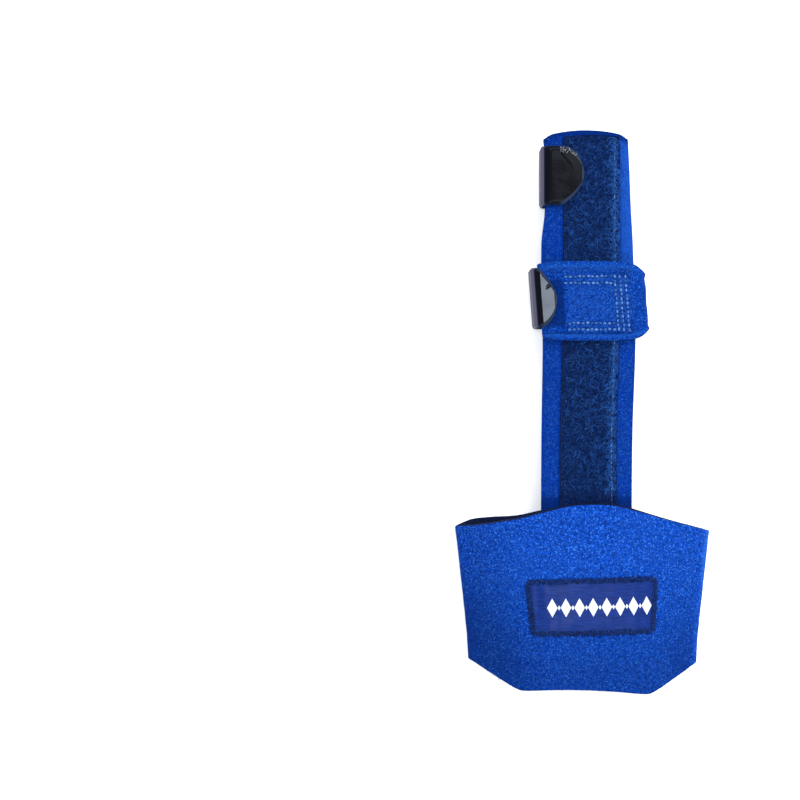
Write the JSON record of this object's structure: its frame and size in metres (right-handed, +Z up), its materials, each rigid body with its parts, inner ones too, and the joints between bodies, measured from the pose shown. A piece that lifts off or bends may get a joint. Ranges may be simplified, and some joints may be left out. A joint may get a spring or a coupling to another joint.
{
  "type": "finger splint",
  "caption": "Finger splint with a neoprene palm sleeve, a long padded finger support, a loop strip, and two finger straps closed by hook tabs.",
  "frame": {"origin": "middle of the splint's box, on the surface that it lies on", "axes": "+X across the palm to the right, +Y along the finger to the tip, +Z up, out of the front wall that carries the label"},
  "size_m": [0.091, 0.1988, 0.0244],
  "materials": {
    "neoprene_jersey": "brushed jersey on foam, royal blue",
    "loop_tape": "napped loop tape, navy",
    "hook_tape": "glossy black back of moulded hook tape",
    "satin_label": "woven satin, navy"
  },
  "bodies": {
    "root": {"palm_sleeve": "neoprene_jersey", "finger_support": "neoprene_jersey", "loop_strip": "loop_tape", "finger_band": "neoprene_jersey", "band_flap": "neoprene_jersey", "band_hook_tab": "hook_tape", "tip_strap": "neoprene_jersey", "tip_hook_tab": "hook_tape", "label": "satin_label"}
  },
  "joints": []
}
